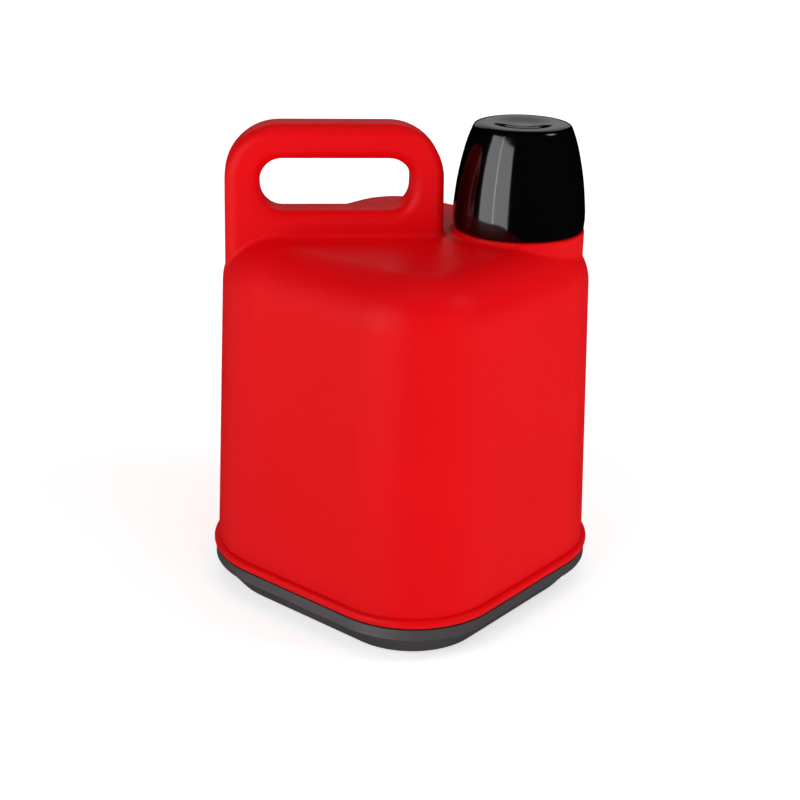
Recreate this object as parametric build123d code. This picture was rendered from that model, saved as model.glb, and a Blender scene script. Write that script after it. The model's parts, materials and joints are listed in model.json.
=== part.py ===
from build123d import *
import math
import os

# Insulated jug with a built-in carrying handle, a corner neck and a drinking cup over its stopper.
# Millimetres. The origin is on the floor, in the middle of the base. +Z is up, the handle and the neck
# stand along X with the neck on the +X side, and one corner of the square body points to -Y.

# ------------------------------------------------------------------ general
ROOM = 400.0               # larger than the whole jug
OVERCUT = 1.0              # how far a cut runs past the face that it opens
ON_AXIS = 0.01             # a point nearer to an axis than this is on it
SAME_EDGE = 0.05           # edges whose middles are nearer than this are the same edge

# ------------------------------------------------------------------ body
BASE_TOP = 24.6            # joint between the coloured shell and the base
WALL_HALF = 109.7          # half the flat-to-flat width of the shell where it leaves the base
WALL_DRAFT = 2.1           # lean of the walls, degrees
SIDE_CORNER_R = 70.0       # plan radius of the corners on X
FRONT_CORNER_R = 60.0      # plan radius of the corners on Y
SHOULDER_TOP = 241.6
SHOULDER_R = 31.0
SHELL_T = 2.8
JUNCTION_R = 3.2           # inner rounding where handle and collar meet the body
JUNCTION_LOW = 190.0       # all those inner corners are higher than this
BEAD_STAND = 3.0           # how far the bottom bead stands out of the wall
BEAD_H = 5.8
BEAD_R_LOW = 2.2
BEAD_R_HIGH = 2.8

# ------------------------------------------------------------------ handle
HANDLE_LEFT = -116.2
HANDLE_RIGHT = 21.2
HANDLE_FLARE = 1.8         # how much each side has widened when it meets the body
HANDLE_TOP = 313.0
HANDLE_CORNER_R = 35.0
HANDLE_DEPTH = 30.0
HANDLE_EDGE_R = 8.0
HANDLE_ROOT = 175.0        # the handle plate starts down here, inside the body
GRIP_LEFT = -95.1
GRIP_RIGHT = 1.2
GRIP_LOW = 258.2
GRIP_HIGH = 291.2
GRIP_R_HIGH = 14.0
GRIP_R_LOW = 14.5
GRIP_TAPER = 1.0           # how much each side of the hole has closed in at its foot

# ------------------------------------------------------------------ neck and collar
NECK_X = 71.8
COLLAR_R = 42.9
COLLAR_TOP = 245.0
COLLAR_ROOT = 175.0
COLLAR_EDGE_R = 1.2
COLLAR_BORE_DEPTH = 10.0
NECK_BORE_R = 24.0
NECK_WALL = 3.5
NECK_TOP = 259.0
NECK_CLEAR = 0.3
NECK_ROOT_DEPTH = 20.0     # how far the neck reaches down into the tank's wall before the bore is cut
NECK_BORE_DEPTH = 40.0

# ------------------------------------------------------------------ inner tank and foam
TANK_HALF = 89.0
TANK_CORNER_R = 40.0
TANK_LOW = 40.0
TANK_HIGH = 222.0
TANK_T = 2.0
TANK_EDGE_R = 7.0
TANK_WELD_Z = 206.0
FOAM_LOW_HALF = 92.0
FOAM_LOW_SIDE_R = 55.0
FOAM_LOW_FRONT_R = 50.0
FOAM_CLEAR = 0.5

# ------------------------------------------------------------------ base
BASE_BAND_HALF = 111.6
BASE_BAND_LOW = 16.6
BASE_STEP = 1.0
BASE_RIM_Z = 1.0
BASE_RIM_HALF = 97.9
BASE_GAP = 0.9             # shadow line under the bead
BASE_GAP_DEPTH = 2.8
BASE_T = 2.6
BASE_SPIGOT_TOP = 36.0
BASE_FLOOR_Z = 4.0
BASE_ROOM_SIDE_R = 60.0
BASE_ROOM_FRONT_R = 50.0
RECESS_INSET = 12.0        # width of the flat rim round the hollow under the base
RECESS_SIDE_R = 50.0
RECESS_FRONT_R = 40.0
PAD_R = 11.0
PAD_T = 4.0
PAD_REACH = 98.0           # distance of each pad from the middle, along X or Y
PAD_POCKET_CLEAR = 0.2
PAD_BOSS_T = 3.0
PAD_CHAMFER = 0.6
PLUG_R = 9.0
PLUG_FLANGE_R = 13.0
PLUG_FLANGE_T = 2.0
PLUG_CHAMFER = 0.6
PLUG_CLEAR = 0.1
PLUG_GRIP = 2.0            # how far the plug stands into the foam
PLUG_POCKET_CLEAR = 1.0
PLUG_POCKET_DEPTH = 4.0

# ------------------------------------------------------------------ cup
CUP_RIM_Z = 245.4
CUP_TOP_Z = 312.6
CUP_T = 2.4
CUP_RECESS_R = 21.5
CUP_RECESS_DEPTH = 1.6
CUP_PROFILE = [            # outside radius at each height above the rim
    (42.3, 0.0),
    (42.8, 8.0),
    (42.1, 18.0),
    (40.9, 28.5),
    (39.3, 38.0),
    (37.1, 48.0),
    (34.9, 56.0),
    (32.9, 61.5),
]
CUP_TOP_R = 27.5
CUP_SHOULDER_H = 3.0       # the side ends at least this far below the top

# ------------------------------------------------------------------ neck ring
GASKET_T = 1.5
RING_FLANGE_R = 38.6
RING_FLANGE_T = 2.6
RING_BARREL_R = 35.6
THREAD_RIDGES = 3
THREAD_PITCH = 3.0
THREAD_DEPTH = 1.1
THREAD_START = 1.6         # height of the first ridge above the flange
THREAD_ROOT = 0.5          # how far each ridge reaches into the barrel
THREAD_FLANK = 0.6
THREAD_CREST = 0.4

# ------------------------------------------------------------------ stopper
PLUG_BODY_R = 23.4
PLUG_LOW = 224.0
SEAL_T = 1.25
SEAL_INSET = 0.2
SEAL_GAP = 0.02
HEAD_LOW = 260.3
HEAD_R = 30.0
HEAD_TOP = 284.0
HEAD_T = 2.2
FLUTES = 20
FLUTE_R = 1.6
FLUTE_OUT = 0.6            # how far outside the head each flute is centred
FLUTE_FOOT = 3.0
COVER_T = 3.0
COVER_EDGE_R = 1.6
COVER_SKIRT = 3.0
TUBE_R = 9.6
TUBE_BORE_R = 7.0
TUBE_TOP = 270.0
SPOUT_W = 10.0
SPOUT_H = 5.0
CORE_TOP = 258.0

# ------------------------------------------------------------------ button and valve
BUTTON_R = 13.9
BUTTON_HOLE_R = 14.2
BUTTON_TOP = 291.5
BUTTON_FLANGE_R = 16.5
BUTTON_FLANGE_T = 2.0
BUTTON_T = 2.0
BUTTON_BOSS_R = 8.6
BUTTON_BOSS_LOW = 285.5
BUTTON_EDGE_R = 1.4
BUTTON_GAP = 0.1           # play between the stop flange and the cover
BUTTON_DISH_R = 40.0
BUTTON_DISH_DEPTH = 0.9
SOCKET_END = 0.6           # plastic left between the stem's end and the underside of the button's skin
STEM_R = 2.5
STEM_LOW = 216.8
STEM_TOP = BUTTON_TOP - BUTTON_T - SOCKET_END
RUNNING_FIT = 0.08
VALVE_R = 12.0
VALVE_T = 2.2
VALVE_SEAL_T = 2.2
VALVE_SEAL_INSET = 0.5
VALVE_GAP = 0.05
STEM_SEAL_T = 2.6
SEAT_T = 1.2
SEAT_CLEAR = 0.1
CLIP_R = 6.0
CLIP_T = 1.2
CLIP_NOTCH_W = 2.4
CLIP_NOTCH_GAP = 0.4
SPRING_R = 6.4             # mean coil radius
SPRING_WIRE_R = 0.6
SPRING_TURNS = 5


def plan(half, side_r, front_r):
    """Rounded square with its corners on the axes."""
    reach = math.sqrt(2) * half
    square = Polygon((reach, 0), (0, reach), (-reach, 0), (0, -reach), align=None)
    square = fillet(square.vertices().filter_by(lambda v: abs(v.Y) < ON_AXIS), side_r)
    return fillet(square.vertices().filter_by(lambda v: abs(v.X) < ON_AXIS), front_r)


def wall_inset(z):
    """How far the drafted wall has leaned in at this height."""
    return (z - BASE_TOP) * math.tan(math.radians(WALL_DRAFT))


def tapered_block(half, side_r, front_r, low, high, draft):
    """Rounded square block whose walls lean in by draft degrees."""
    face = Pos(0, 0, low) * plan(half, side_r, front_r)
    return extrude(face, amount=high - low, taper=draft)


def disc(r, low, high, x=0.0, y=0.0):
    """Upright cylinder between two heights."""
    return Pos(x, y, low) * Cylinder(r, high - low, align=(Align.CENTER, Align.CENTER, Align.MIN))


def ring(outer, inner, low, high, x=0.0, y=0.0):
    """Upright tube between two heights."""
    return disc(outer, low, high, x, y) - disc(inner, low - OVERCUT, high + OVERCUT, x, y)


def turned(profile, x=NECK_X):
    """Solid of revolution about an upright axis, from a closed face in the XZ plane."""
    return Pos(x, 0, 0) * revolve(profile, Axis.Z)


def top_edges(solid):
    """Outline of the highest flat face."""
    return solid.faces().sort_by(Axis.Z)[-1].outer_wire().edges()


# ------------------------------------------------------------------ coloured shell
def body_block(inset):
    """Main body, inset evenly from the outside."""
    block = tapered_block(WALL_HALF - inset, SIDE_CORNER_R - inset, FRONT_CORNER_R - inset,
                          BASE_TOP, SHOULDER_TOP - inset, WALL_DRAFT)
    return fillet(top_edges(block), SHOULDER_R - inset)


def handle_plate(inset):
    """Upright loop handle, inset evenly from the outside, with its finger hole."""
    left, right = HANDLE_LEFT + inset, HANDLE_RIGHT - inset
    low, high = HANDLE_ROOT, HANDLE_TOP - inset
    outline = Polygon((left - HANDLE_FLARE, low), (right + HANDLE_FLARE, low),
                      (right, high), (left, high), align=None)
    outline = fillet(outline.vertices().group_by(Axis.Y)[-1], HANDLE_CORNER_R - inset)
    hole_low, hole_high = GRIP_LOW - inset, GRIP_HIGH + inset
    hole = Polygon((GRIP_LEFT - inset, hole_high), (GRIP_RIGHT + inset, hole_high),
                   (GRIP_RIGHT + inset - GRIP_TAPER, hole_low),
                   (GRIP_LEFT - inset + GRIP_TAPER, hole_low), align=None)
    hole = fillet(hole.vertices().group_by(Axis.Y)[-1], GRIP_R_HIGH + inset)
    hole = fillet(hole.vertices().group_by(Axis.Y)[0], GRIP_R_LOW + inset)
    depth = HANDLE_DEPTH - 2 * inset
    plate = extrude(Plane.XZ * (outline - hole), amount=depth / 2, both=True)
    sides = plate.faces().filter_by(Axis.Y)
    rims = sides[0].edges() + sides[1].edges()
    rims = rims.filter_by(lambda e: e.center().Z > HANDLE_ROOT + OVERCUT)
    return fillet(rims, HANDLE_EDGE_R - inset)


def collar_block(inset):
    """Round shoulder that carries the neck."""
    return disc(COLLAR_R - inset, COLLAR_ROOT, COLLAR_TOP - inset, NECK_X)


def bead():
    """Rounded band round the foot of the shell."""
    half = WALL_HALF + BEAD_STAND
    grow = BEAD_STAND
    band = extrude(Pos(0, 0, BASE_TOP) * plan(half, SIDE_CORNER_R + grow, FRONT_CORNER_R + grow),
                   amount=BEAD_H)
    band = fillet(top_edges(band), BEAD_R_HIGH)
    low_edges = band.faces().sort_by(Axis.Z)[0].outer_wire().edges()
    return fillet(low_edges, BEAD_R_LOW)


def blended(parts):
    """Fuse the parts and round the inner corners where they meet."""
    joined = parts[0]
    for part in parts[1:]:
        joined = joined + part
    known = [edge.center() for part in parts for edge in part.edges()]
    corners = [edge for edge in joined.edges()
               if edge.center().Z > JUNCTION_LOW
               and min((edge.center() - point).length for point in known) > SAME_EDGE]
    return fillet(corners, JUNCTION_R)


def outer_shell():
    """Hollow shell with its handle, collar and foot bead."""
    collar = collar_block(0)
    collar = fillet(top_edges(collar), COLLAR_EDGE_R)
    outside = blended([body_block(0), handle_plate(0), collar]) + bead()
    cavity = body_block(SHELL_T) + handle_plate(SHELL_T) + collar_block(SHELL_T)
    shell = outside - cavity
    mouth = plan(WALL_HALF - SHELL_T, SIDE_CORNER_R - SHELL_T, FRONT_CORNER_R - SHELL_T)
    shell -= extrude(Pos(0, 0, BASE_TOP - OVERCUT) * mouth, amount=2 * OVERCUT)
    shell -= disc(NECK_BORE_R + NECK_WALL + NECK_CLEAR, COLLAR_TOP - COLLAR_BORE_DEPTH,
                  COLLAR_TOP + OVERCUT, NECK_X)
    return shell


# ------------------------------------------------------------------ inside of the body
def tank_block(inset):
    """Outside or inside form of the tank, without its neck."""
    block = tapered_block(TANK_HALF - inset, TANK_CORNER_R - inset, TANK_CORNER_R - inset,
                          TANK_LOW + inset, TANK_HIGH - inset, WALL_DRAFT)
    block = fillet(top_edges(block), TANK_EDGE_R - inset)
    low_edges = block.faces().sort_by(Axis.Z)[0].outer_wire().edges()
    return fillet(low_edges, TANK_EDGE_R - inset)


def tank_form():
    """Tank and neck as one closed form, used to hollow the foam."""
    return tank_block(0) + disc(NECK_BORE_R + NECK_WALL, TANK_HIGH - NECK_ROOT_DEPTH, NECK_TOP, NECK_X)


def tank_walls():
    """Whole tank with its straight neck, before it is split at the weld."""
    tank = tank_form() - tank_block(TANK_T)
    return tank - disc(NECK_BORE_R, TANK_HIGH - NECK_BORE_DEPTH, NECK_TOP + OVERCUT, NECK_X)


def above(z):
    """Everything above a height."""
    return Pos(0, 0, z) * Box(ROOM, ROOM, ROOM, align=(Align.CENTER, Align.CENTER, Align.MIN))


def inner_tank():
    """Deep bucket of the tank, below the weld."""
    return tank_walls() - above(TANK_WELD_Z)


def tank_top():
    """Upper moulding of the tank with the neck, welded onto the bucket."""
    return tank_walls() & above(TANK_WELD_Z)


def foam_insulation():
    """Foam that fills everything between shell, tank and base."""
    foam = body_block(SHELL_T) + handle_plate(SHELL_T) + collar_block(SHELL_T)
    foam = foam & above(BASE_SPIGOT_TOP)
    low = extrude(Pos(0, 0, BASE_FLOOR_Z + BASE_T) * plan(FOAM_LOW_HALF, FOAM_LOW_SIDE_R, FOAM_LOW_FRONT_R),
                  amount=BASE_SPIGOT_TOP - BASE_FLOOR_Z - BASE_T)
    pocket = disc(PLUG_FLANGE_R + PLUG_POCKET_CLEAR, 0, BASE_FLOOR_Z + BASE_T + PLUG_POCKET_DEPTH)
    return foam + low - tank_form() - pocket


# ------------------------------------------------------------------ base
def base_slope(half, side_r, front_r, low, high):
    """Sloping lower band, widening upwards from the rim."""
    run = (BASE_BAND_HALF - BASE_STEP) - BASE_RIM_HALF
    lean = math.degrees(math.atan2(run, BASE_BAND_LOW - BASE_RIM_Z))
    return extrude(Pos(0, 0, low) * plan(half, side_r, front_r), amount=high - low, taper=-lean)


def base_cover():
    """Dark tray under the shell: upright band, sloping band, floor and spigot."""
    grow = BASE_BAND_HALF - WALL_HALF
    band = extrude(Pos(0, 0, BASE_BAND_LOW) * plan(BASE_BAND_HALF, SIDE_CORNER_R + grow,
                                                   FRONT_CORNER_R + grow),
                   amount=BASE_TOP - BASE_BAND_LOW)
    shrink = WALL_HALF - BASE_RIM_HALF
    slope = base_slope(BASE_RIM_HALF, SIDE_CORNER_R - shrink, FRONT_CORNER_R - shrink,
                       BASE_RIM_Z, BASE_BAND_LOW)
    spigot_half = WALL_HALF - SHELL_T - NECK_CLEAR - wall_inset(BASE_SPIGOT_TOP)
    under = WALL_HALF - spigot_half
    spigot = extrude(Pos(0, 0, BASE_TOP) * plan(spigot_half, SIDE_CORNER_R - under,
                                                FRONT_CORNER_R - under),
                     amount=BASE_SPIGOT_TOP - BASE_TOP)
    tray = band + slope + spigot
    gap_plan = plan(BASE_BAND_HALF + OVERCUT, SIDE_CORNER_R, FRONT_CORNER_R)
    gap_core = plan(BASE_BAND_HALF - BASE_GAP_DEPTH, SIDE_CORNER_R, FRONT_CORNER_R)
    tray -= extrude(Pos(0, 0, BASE_TOP - BASE_GAP) * (gap_plan - gap_core), amount=BASE_GAP)
    room_half = spigot_half - BASE_T
    room_plan = plan(room_half, BASE_ROOM_SIDE_R, BASE_ROOM_FRONT_R)
    room = extrude(Pos(0, 0, BASE_BAND_LOW) * room_plan, amount=BASE_SPIGOT_TOP - BASE_BAND_LOW + OVERCUT)
    low_room = base_slope(FOAM_LOW_HALF + FOAM_CLEAR, FOAM_LOW_SIDE_R + FOAM_CLEAR,
                          FOAM_LOW_FRONT_R + FOAM_CLEAR, BASE_FLOOR_Z + BASE_T, BASE_BAND_LOW)
    tray -= room + (low_room & extrude(room_plan, amount=BASE_SPIGOT_TOP))
    tray -= extrude(plan(BASE_RIM_HALF - RECESS_INSET, RECESS_SIDE_R, RECESS_FRONT_R), amount=BASE_FLOOR_Z)
    for x, y in pad_places():
        tray += disc(PAD_R + PAD_BOSS_T, BASE_RIM_Z, BASE_FLOOR_Z + OVERCUT, x, y)
        tray -= disc(PAD_R + PAD_POCKET_CLEAR, -OVERCUT, PAD_T, x, y)
    return tray - disc(PLUG_R + PLUG_CLEAR, 0, BASE_BAND_LOW)


def pad_places():
    """Centres of the four pads, one in each corner."""
    return [(PAD_REACH, 0), (0, PAD_REACH), (-PAD_REACH, 0), (0, -PAD_REACH)]


def base_pads():
    """Four rubber pads pressed into the pockets of the base."""
    pads = []
    for x, y in pad_places():
        pad = disc(PAD_R, 0, PAD_T, x, y)
        pads.append(chamfer(pad.edges().group_by(Axis.Z)[0], PAD_CHAMFER))
    return Compound(children=pads)


def foam_fill_plug():
    """Plug for the hole through which the foam is poured."""
    flange = disc(PLUG_FLANGE_R, BASE_FLOOR_Z - PLUG_FLANGE_T, BASE_FLOOR_Z)
    flange = chamfer(flange.edges().group_by(Axis.Z)[0], PLUG_CHAMFER)
    return flange + disc(PLUG_R, BASE_FLOOR_Z, BASE_FLOOR_Z + BASE_T + PLUG_GRIP)


# ------------------------------------------------------------------ neck
def neck_gasket():
    """Flat rubber ring between the collar and the neck ring."""
    inner = NECK_BORE_R + NECK_WALL + NECK_CLEAR
    return ring(RING_BARREL_R, inner, COLLAR_TOP, COLLAR_TOP + GASKET_T, NECK_X)


def neck_ring():
    """Ring nut round the neck. The cup screws onto its outside."""
    low = COLLAR_TOP + GASKET_T
    inner = NECK_BORE_R + NECK_WALL
    body = disc(RING_FLANGE_R, low, low + RING_FLANGE_T, NECK_X)
    body += disc(RING_BARREL_R, low, NECK_TOP, NECK_X)
    for turn in range(THREAD_RIDGES):
        foot, crest = RING_BARREL_R - THREAD_ROOT, RING_BARREL_R + THREAD_DEPTH
        z = low + RING_FLANGE_T + THREAD_START + turn * THREAD_PITCH
        crest_top = z + THREAD_FLANK + THREAD_CREST
        ridge = Polygon((foot, z), (crest, z + THREAD_FLANK), (crest, crest_top),
                        (foot, crest_top + THREAD_FLANK), align=None)
        body += turned(Plane.XZ * ridge)
    return body - disc(inner, low - OVERCUT, NECK_TOP + OVERCUT, NECK_X)


# ------------------------------------------------------------------ cup
def cup_form(offset, top_z):
    """Closed form of the cup, pulled in by offset and ending at top_z."""
    points = [(r - offset, CUP_RIM_Z + z) for r, z in CUP_PROFILE if CUP_RIM_Z + z < top_z - CUP_SHOULDER_H]
    side = Spline(*points)
    shoulder = Spline(points[-1], (CUP_TOP_R, top_z), tangents=[side % 1, (-1, 0)])
    outline = [side, shoulder, Line((CUP_TOP_R, top_z), (0, top_z)), Line((0, top_z), (0, CUP_RIM_Z)),
               Line((0, CUP_RIM_Z), points[0])]
    return turned(Plane.XZ * make_face(outline))


def drinking_cup():
    """Upturned cup that covers the stopper, with a shallow dish in its end."""
    cup = cup_form(0, CUP_TOP_Z) - cup_form(CUP_T, CUP_TOP_Z - CUP_RECESS_DEPTH - CUP_T)
    sphere_r = (CUP_RECESS_R ** 2 + CUP_RECESS_DEPTH ** 2) / (2 * CUP_RECESS_DEPTH)
    dish = Pos(NECK_X, 0, CUP_TOP_Z - CUP_RECESS_DEPTH + sphere_r) * Sphere(sphere_r)
    cup -= dish
    return cup


# ------------------------------------------------------------------ stopper
def stopper_seal():
    """Rubber ring squeezed between the stopper and the neck's mouth."""
    outer, inner = NECK_BORE_R + NECK_WALL - SEAL_INSET, NECK_BORE_R + SEAL_INSET
    return ring(outer, inner, NECK_TOP + SEAL_GAP, NECK_TOP + SEAL_T, NECK_X)


def stopper_body():
    """Plug and gripping head, with the pouring tube in its middle."""
    body = ring(PLUG_BODY_R, PLUG_BODY_R - HEAD_T, PLUG_LOW, HEAD_LOW, NECK_X)
    body += ring(PLUG_BODY_R, TUBE_BORE_R, PLUG_LOW, PLUG_LOW + HEAD_T, NECK_X)
    body += ring(TUBE_R, TUBE_BORE_R, PLUG_LOW, TUBE_TOP, NECK_X)
    body += ring(HEAD_R, TUBE_BORE_R, HEAD_LOW, HEAD_LOW + HEAD_T, NECK_X)
    body += ring(HEAD_R, HEAD_R - HEAD_T, HEAD_LOW, HEAD_TOP, NECK_X)
    for index in range(FLUTES):
        angle = 2 * math.pi * (index + 0.5) / FLUTES
        x = NECK_X + (HEAD_R + FLUTE_OUT) * math.cos(angle)
        y = (HEAD_R + FLUTE_OUT) * math.sin(angle)
        body -= disc(FLUTE_R, HEAD_LOW + FLUTE_FOOT, HEAD_TOP + OVERCUT, x, y)
    spout_z = HEAD_LOW + HEAD_T
    spout = Box(HEAD_R + OVERCUT, SPOUT_W, SPOUT_H, align=(Align.MIN, Align.CENTER, Align.MIN))
    return body - Pos(NECK_X, 0, spout_z) * spout


def stopper_core():
    """Foam ring inside the plug."""
    return ring(PLUG_BODY_R - HEAD_T, TUBE_R, PLUG_LOW + HEAD_T, CORE_TOP, NECK_X)


def core_cap():
    """Disc that closes the foam in."""
    return ring(PLUG_BODY_R - HEAD_T, TUBE_R, CORE_TOP, HEAD_LOW, NECK_X)


def stopper_cover():
    """Lid on the stopper's head, with the button's hole."""
    cover = ring(HEAD_R, BUTTON_HOLE_R, HEAD_TOP, HEAD_TOP + COVER_T, NECK_X)
    cover = fillet(cover.edges().group_by(Axis.Z)[-1].sort_by(lambda e: e.radius)[-1], COVER_EDGE_R)
    return cover + ring(HEAD_R - HEAD_T, HEAD_R - 2 * HEAD_T, HEAD_TOP - COVER_SKIRT, HEAD_TOP, NECK_X)


def stem_seal():
    """O-ring shaped gland ring at the top of the pouring tube."""
    return ring(TUBE_BORE_R, STEM_R + RUNNING_FIT, TUBE_TOP - STEM_SEAL_T, TUBE_TOP, NECK_X)


def spring_seat():
    """Washer that holds the gland ring down and carries the spring."""
    return ring(TUBE_R, STEM_R + SEAT_CLEAR, TUBE_TOP, TUBE_TOP + SEAT_T, NECK_X)


def button_spring():
    """Round-wire return spring under the button."""
    low = TUBE_TOP + SEAT_T + SPRING_WIRE_R
    high = BUTTON_BOSS_LOW - SPRING_WIRE_R
    path = Helix((high - low) / SPRING_TURNS, high - low, SPRING_R)
    wire = Plane(origin=path @ 0, z_dir=path % 0) * Circle(SPRING_WIRE_R)
    return Pos(NECK_X, 0, low) * sweep(wire, path=path, is_frenet=True)


# ------------------------------------------------------------------ button and valve
def pour_button():
    """Push button with a stop flange and a socket for the stem."""
    flange_low = HEAD_TOP - BUTTON_GAP - BUTTON_FLANGE_T
    cap = disc(BUTTON_R, flange_low, BUTTON_TOP, NECK_X)
    cap = fillet(cap.edges().group_by(Axis.Z)[-1], BUTTON_EDGE_R)
    cap += disc(BUTTON_FLANGE_R, flange_low, flange_low + BUTTON_FLANGE_T, NECK_X)
    cap -= disc(BUTTON_R - BUTTON_T, flange_low - OVERCUT, BUTTON_TOP - BUTTON_T, NECK_X)
    cap += disc(BUTTON_BOSS_R, BUTTON_BOSS_LOW, BUTTON_TOP - BUTTON_T, NECK_X)
    cap -= Pos(NECK_X, 0, BUTTON_TOP + BUTTON_DISH_R - BUTTON_DISH_DEPTH) * Sphere(BUTTON_DISH_R)
    return cap - disc(STEM_R, BUTTON_BOSS_LOW - OVERCUT, STEM_TOP, NECK_X)


def valve_stem():
    """Rod from the button down to the valve."""
    return disc(STEM_R, STEM_LOW, STEM_TOP, NECK_X)


def valve_plate():
    """Disc that carries the valve's seal under the plug."""
    high = PLUG_LOW - VALVE_GAP - VALVE_SEAL_T
    return ring(VALVE_R, STEM_R, high - VALVE_T, high, NECK_X)


def valve_seal():
    """Rubber face that closes the pouring tube from below."""
    high = PLUG_LOW - VALVE_GAP
    return ring(VALVE_R - VALVE_SEAL_INSET, STEM_R, high - VALVE_SEAL_T, high, NECK_X)


def stem_clip():
    """Retaining ring that holds the valve plate on the stem."""
    high = PLUG_LOW - VALVE_GAP - VALVE_SEAL_T - VALVE_T
    clip = ring(CLIP_R, STEM_R, high - CLIP_T, high, NECK_X)
    notch = Box(CLIP_R, CLIP_NOTCH_W, CLIP_T + 2 * OVERCUT, align=(Align.MIN, Align.CENTER, Align.CENTER))
    return clip - Pos(NECK_X + STEM_R + CLIP_NOTCH_GAP, 0, high - CLIP_T / 2) * notch


NODES = {
    "outer_shell": outer_shell,
    "base_cover": base_cover,
    "base_pads": base_pads,
    "foam_fill_plug": foam_fill_plug,
    "foam_insulation": foam_insulation,
    "inner_tank": inner_tank,
    "tank_top": tank_top,
    "neck_gasket": neck_gasket,
    "neck_ring": neck_ring,
    "drinking_cup": drinking_cup,
    "stopper_seal": stopper_seal,
    "stopper_body": stopper_body,
    "stopper_core": stopper_core,
    "core_cap": core_cap,
    "stopper_cover": stopper_cover,
    "stem_seal": stem_seal,
    "spring_seat": spring_seat,
    "button_spring": button_spring,
    "pour_button": pour_button,
    "valve_stem": valve_stem,
    "valve_plate": valve_plate,
    "valve_seal": valve_seal,
    "stem_clip": stem_clip,
}

os.makedirs("parts", exist_ok=True)
for node, make in NODES.items():
    export_step(make(), f"parts/{node}.step")
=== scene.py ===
"""Insulated jug with a drinking cup.

Finishes, detailed pieces, camera and light round the fixed frame. Lengths are in metres.
"""

import json
import logging
import math
from dataclasses import dataclass, field
from enum import Enum
from typing import Sequence

import bpy
from mathutils import Matrix, Vector


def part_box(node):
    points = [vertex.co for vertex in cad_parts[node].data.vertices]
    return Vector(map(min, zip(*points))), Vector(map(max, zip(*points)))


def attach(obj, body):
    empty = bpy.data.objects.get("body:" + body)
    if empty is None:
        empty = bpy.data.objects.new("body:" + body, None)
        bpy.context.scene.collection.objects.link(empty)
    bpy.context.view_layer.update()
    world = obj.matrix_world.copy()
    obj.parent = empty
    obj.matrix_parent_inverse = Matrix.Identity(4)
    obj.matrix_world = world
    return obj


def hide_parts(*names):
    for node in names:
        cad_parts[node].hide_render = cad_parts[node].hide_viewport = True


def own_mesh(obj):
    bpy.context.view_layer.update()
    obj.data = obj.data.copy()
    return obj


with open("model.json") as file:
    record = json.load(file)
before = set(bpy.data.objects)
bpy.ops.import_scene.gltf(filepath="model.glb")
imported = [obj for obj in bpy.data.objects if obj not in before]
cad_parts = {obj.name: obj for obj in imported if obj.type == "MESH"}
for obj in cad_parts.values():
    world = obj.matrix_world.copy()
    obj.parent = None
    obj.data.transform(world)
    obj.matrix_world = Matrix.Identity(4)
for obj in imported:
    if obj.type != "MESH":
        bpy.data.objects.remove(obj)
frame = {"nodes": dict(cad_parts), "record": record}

LOG = logging.getLogger("jug")
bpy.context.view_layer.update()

WHITE = (1.0, 1.0, 1.0, 1.0)

# Points of a mesh that are nearer than this are merged.
DOUBLES_WITHIN = 0.000005

# Part of a noise's range that holds most of its values.
NOISE_MIDDLE = (0.3, 0.7)

# Slow waves and patchy gloss of a moulded skin.
WAVE_SCALE = 14.0
PATCH_SCALE = 38.0

# Hair scratches: direction, stretch, and the values of the noise that become lines.
HAIR_TURN = (0.5, 0.9, 0.3)
HAIR_STRETCH = (26.0, 420.0, 300.0)
HAIR_LINES = (0.66, 0.74)

# Dust specks: cells in each metre, and the distances from a cell's centre where a speck ends.
SPECK_SCALE = 260.0
SPECK_EDGE = (0.05, 0.13)

# Where scratches and dust gather: scale of the regions, and where each begins.
REGION_SCALE = 22.0
SCRATCHED_REGION = (0.5, 0.62)
DUSTY_REGION = (0.55, 0.66)


class Body(Enum):
    """Moving bodies that carry a modelled piece."""

    JUG = "jug"
    STOPPER = "stopper"
    CUP = "cup"


class Slot(Enum):
    """Material slots of the record."""

    SHELL = "red_shell"
    BASE = "grey_base"
    RUBBER = "black_rubber"
    FOAM = "cream_foam"
    TANK = "white_tank"
    MOULDING = "black_moulding"
    CUP = "black_gloss"
    SILICONE = "clear_silicone"
    STEEL = "spring_steel"
    BUTTON = "red_button"


# ---------------------------------------------------------------- shared shader effects
def new_group(name: str, inputs: dict[str, float], outputs: Sequence[str]) -> bpy.types.NodeTree:
    """Starts a shader group whose sockets are all plain numbers.

    Args:
        name: Name of the group.
        inputs: Names of the inputs, with the values that they start with.
        outputs: Names of the outputs.

    Returns:
        The group, with its sockets and no nodes.
    """
    group = bpy.data.node_groups.new(name, "ShaderNodeTree")
    for label, value in inputs.items():
        socket = group.interface.new_socket(name=label, in_out="INPUT", socket_type="NodeSocketFloat")
        socket.default_value = value
    for label in outputs:
        group.interface.new_socket(name=label, in_out="OUTPUT", socket_type="NodeSocketFloat")
    return group


def use_group(tree: bpy.types.NodeTree, group: bpy.types.NodeTree, values: dict[str, float]
              ) -> bpy.types.Node:
    """Places a shader group in a material.

    Args:
        tree: Node tree of the material.
        group: Group to place.
        values: Inputs to set, by name.

    Returns:
        The node that holds the group.
    """
    node = tree.nodes.new("ShaderNodeGroup")
    node.node_tree = group
    for label, value in values.items():
        node.inputs[label].default_value = value
    return node


def place_on_piece(tree: bpy.types.NodeTree) -> bpy.types.NodeSocket:
    """Gives the coordinates of a point on the piece itself."""
    return tree.nodes.new("ShaderNodeTexCoord").outputs["Object"]


def feed(tree: bpy.types.NodeTree, socket: bpy.types.NodeSocket, value: object) -> None:
    """Links a socket to another socket, or sets it to a plain value.

    Args:
        tree: Node tree of the socket.
        socket: Socket to feed.
        value: A socket to link from, or a value to set.
    """
    if isinstance(value, bpy.types.NodeSocket):
        tree.links.new(value, socket)
    else:
        socket.default_value = value


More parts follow.
